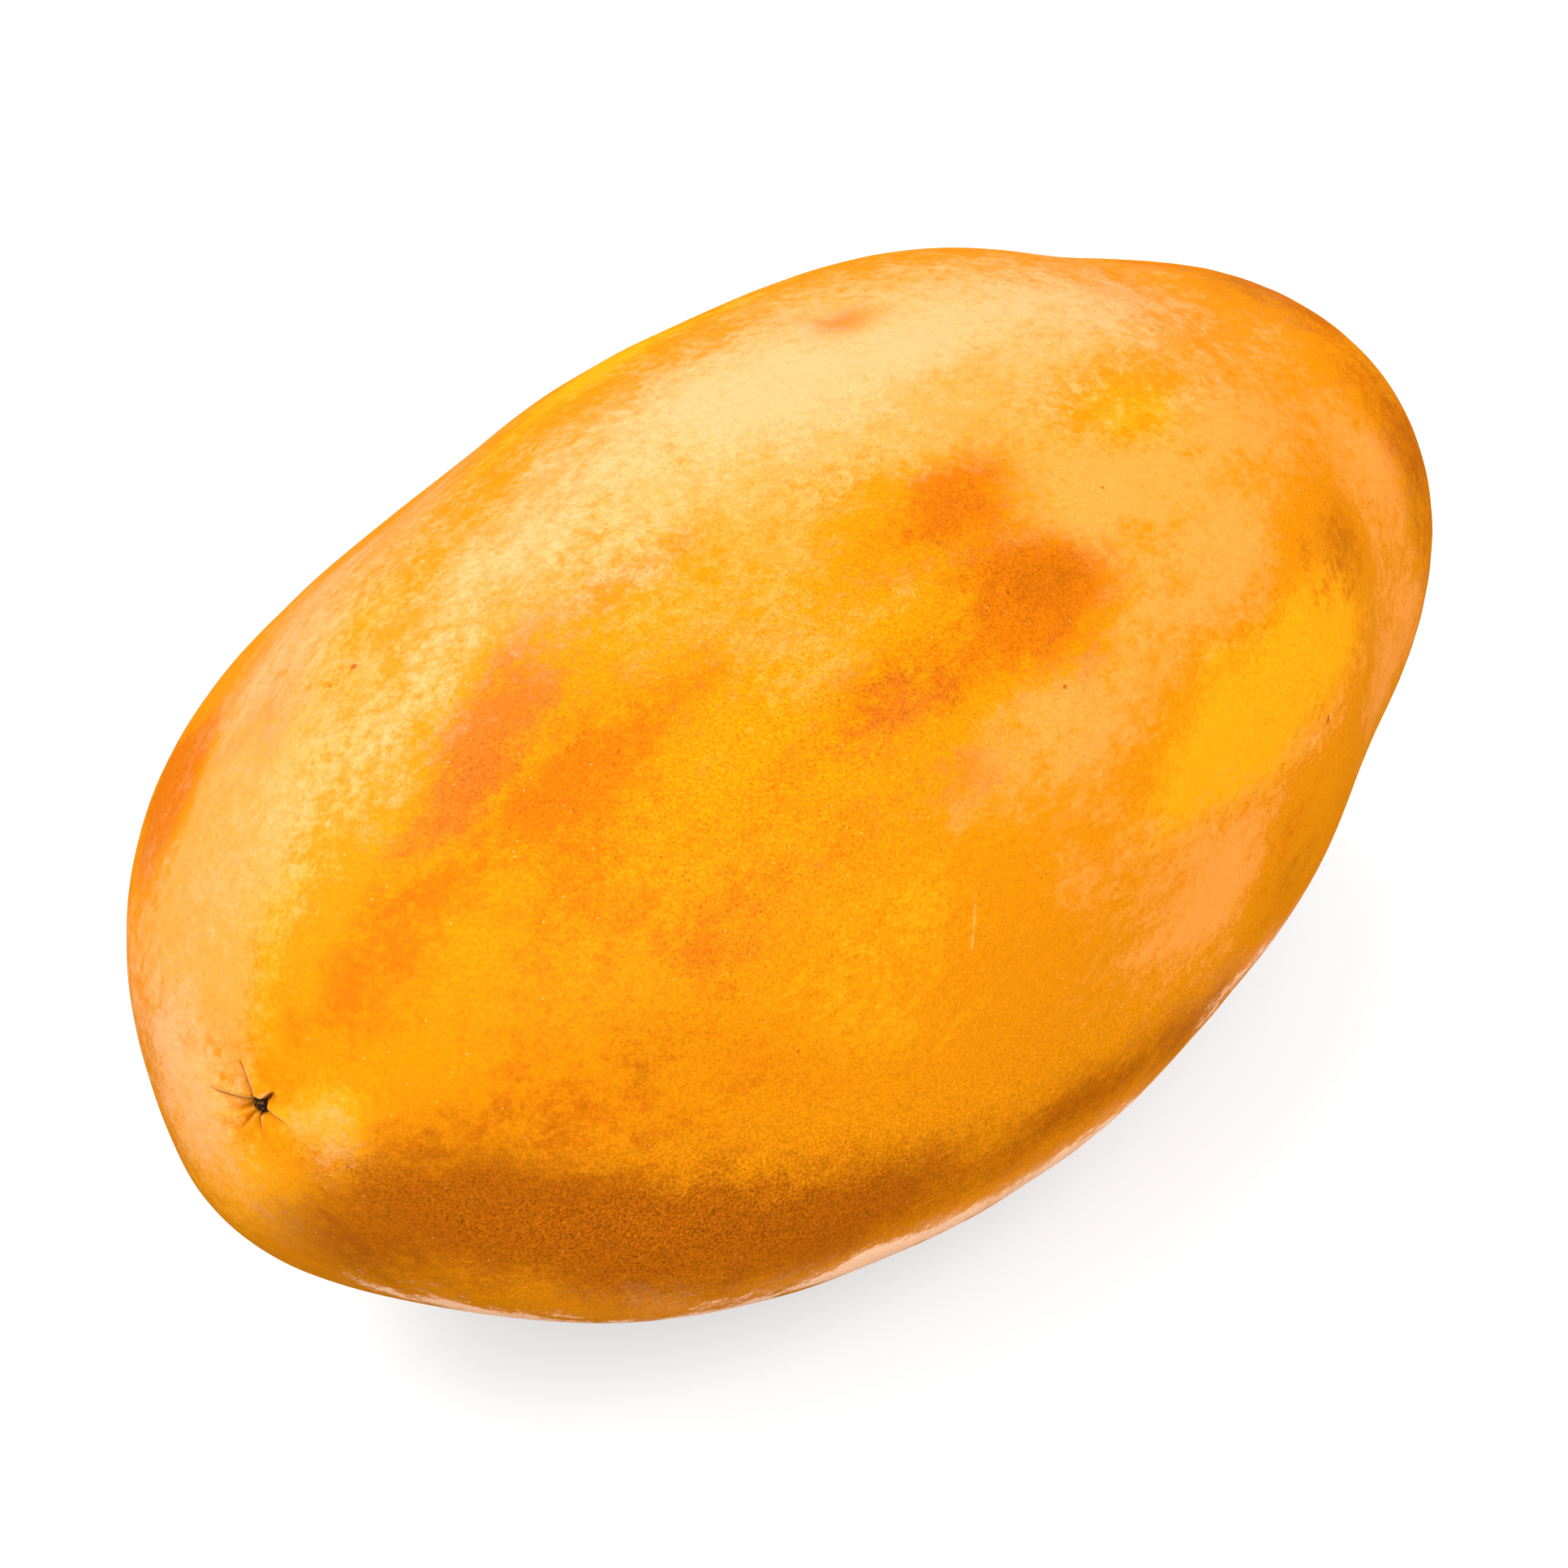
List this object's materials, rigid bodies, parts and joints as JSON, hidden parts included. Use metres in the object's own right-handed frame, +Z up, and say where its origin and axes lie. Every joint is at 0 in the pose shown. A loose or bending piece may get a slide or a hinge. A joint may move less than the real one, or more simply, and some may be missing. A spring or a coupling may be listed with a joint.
{
  "type": "papaya",
  "caption": "Whole ripe papaya lying on its side: long blunt fruit with low ridges, a creased blossom star at one end and a cut stalk at the other.",
  "frame": {"origin": "on the surface that the fruit lies on, below the middle of its outer box", "axes": "+X along the fruit, from the blossom end to the stem end; +Z up as it lies; the fruit's own axis is tilted 3.4 degrees about Y, blossom end raised"},
  "size_m": [0.2658, 0.1342, 0.1294],
  "materials": {
    "ripe_skin": "ripe golden-orange papaya skin, waxy satin, mottled peach and deep orange",
    "dry_flower": "dry, black-brown and matt",
    "stalk": "brown-green bark with a pale, dry cut face, matt"
  },
  "bodies": {
    "root": {"fruit": "ripe_skin", "blossom_remnant": "dry_flower", "stem_stub": "stalk"}
  },
  "joints": []
}
